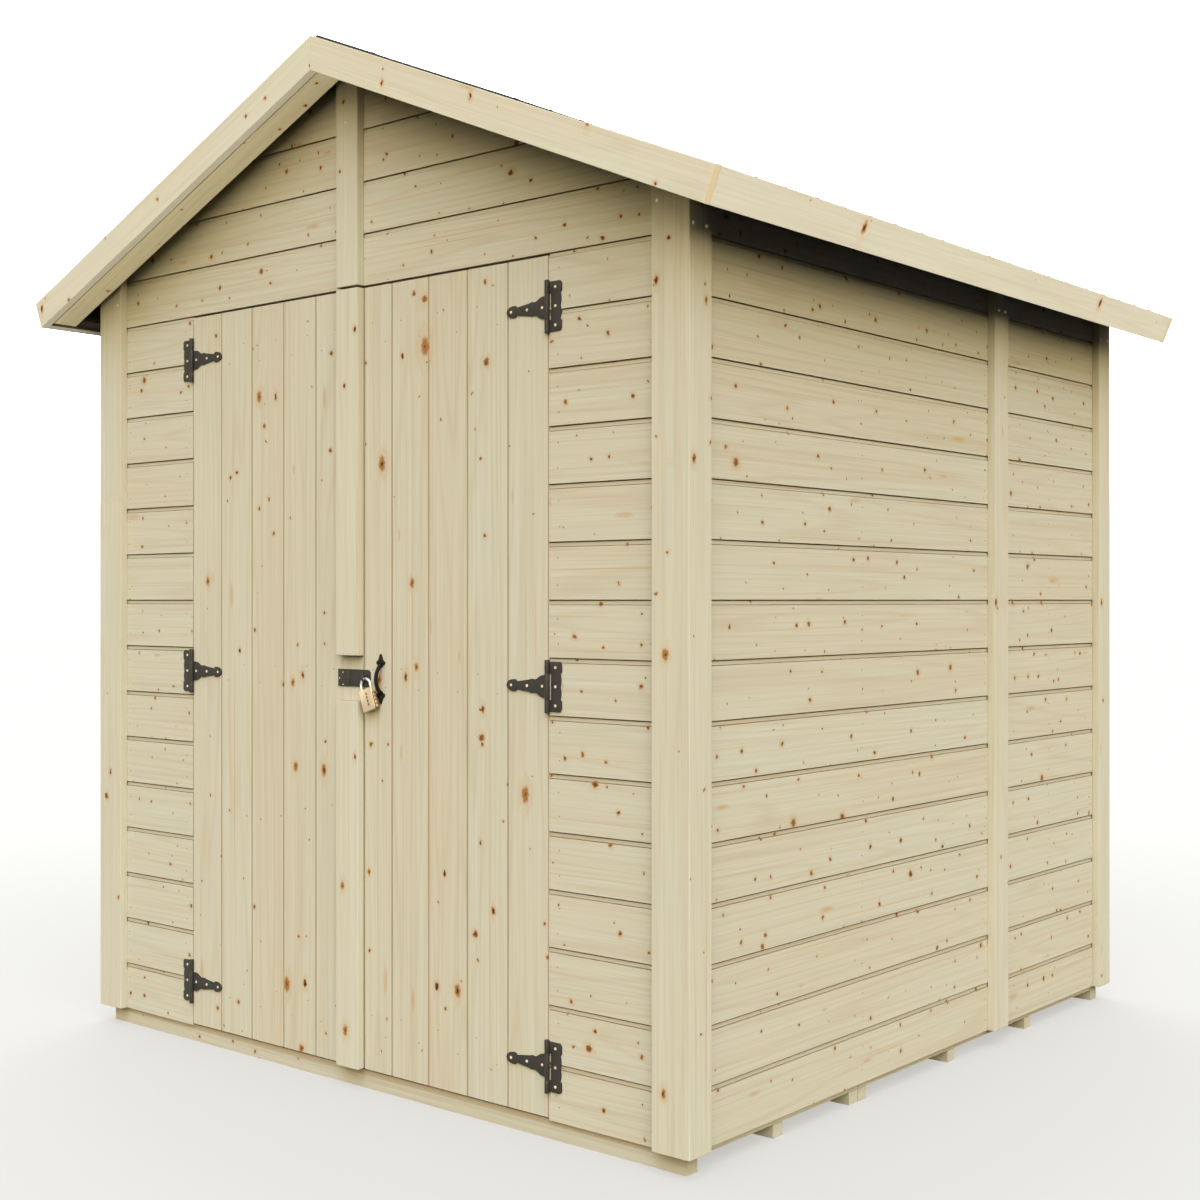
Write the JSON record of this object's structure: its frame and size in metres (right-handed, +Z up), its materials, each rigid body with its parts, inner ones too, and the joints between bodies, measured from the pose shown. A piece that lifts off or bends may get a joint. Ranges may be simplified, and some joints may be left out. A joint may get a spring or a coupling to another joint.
{
  "type": "wooden garden shed",
  "caption": "Apex garden shed of pale treated shiplap boards on a bearer floor, with a felted pitched roof and double doors on black T hinges, hasp and padlock",
  "frame": {"origin": "on the ground under the middle of the shed", "axes": "+Z up, -Y out of the doors, +X to the right of someone who faces the doors"},
  "size_m": [2.1, 2.04, 2.2397],
  "materials": {
    "shiplap_boards": "pressure treated pine, planed",
    "door_timber": "pressure treated pine, planed",
    "trim_timber": "pressure treated pine, planed",
    "frame_timber": "pressure treated pine, sawn",
    "floor_timber": "pressure treated pine",
    "roof_boards": "dark boards",
    "roofing_felt": "black mineral felt",
    "black_metal": "black powder coat",
    "lock_brass": "brushed brass",
    "lock_chrome": "polished"
  },
  "bodies": {
    "shed": {"back_gable": "shiplap_boards", "back_wall": "shiplap_boards", "center_trims": "trim_timber", "corner_trims": "trim_timber", "eave_fascias": "trim_timber", "eave_rails": "frame_timber", "end_wall_rails": "frame_timber", "end_wall_studs": "frame_timber", "floor_bearers": "floor_timber", "floor_decks": "floor_timber", "front_gable": "shiplap_boards", "front_wall_left": "shiplap_boards", "front_wall_right": "shiplap_boards", "gable_rails": "frame_timber", "hinge_butts": "black_metal", "left_bargeboards": "trim_timber", "left_side_trims": "trim_timber", "left_wall_front": "shiplap_boards", "left_wall_rear": "shiplap_boards", "ridge_beam": "frame_timber", "right_bargeboards": "trim_timber", "right_side_trims": "trim_timber", "right_wall_front": "shiplap_boards", "right_wall_rear": "shiplap_boards", "roof_deck_left": "roof_boards", "roof_deck_right": "roof_boards", "roof_felt": "roofing_felt", "roof_purlins": "frame_timber", "side_wall_rails": "frame_timber", "side_wall_studs": "frame_timber", "verge_rails": "frame_timber"},
    "left_door": {"left_door_boards": "door_timber", "left_door_ledges": "frame_timber", "left_door_braces": "frame_timber", "door_cover_strip": "trim_timber", "left_hinge_straps": "black_metal", "hasp_plate": "black_metal"},
    "right_door": {"right_door_boards": "door_timber", "right_door_ledges": "frame_timber", "right_door_braces": "frame_timber", "right_hinge_straps": "black_metal", "door_handle": "black_metal", "staple_plate": "black_metal", "padlock_body": "lock_brass", "padlock_shackle": "lock_chrome"}
  },
  "joints": [
    {"name": "left_door_hinge", "type": "hinge", "parent": "shed", "child": "left_door", "pos_m": [-0.56425, -0.905, 0.879], "axis": [0, 0, -1], "range_deg": [0, 165]},
    {"name": "right_door_hinge", "type": "hinge", "parent": "shed", "child": "right_door", "pos_m": [0.56425, -0.905, 0.879], "axis": [0, 0, 1], "range_deg": [0, 165]}
  ]
}
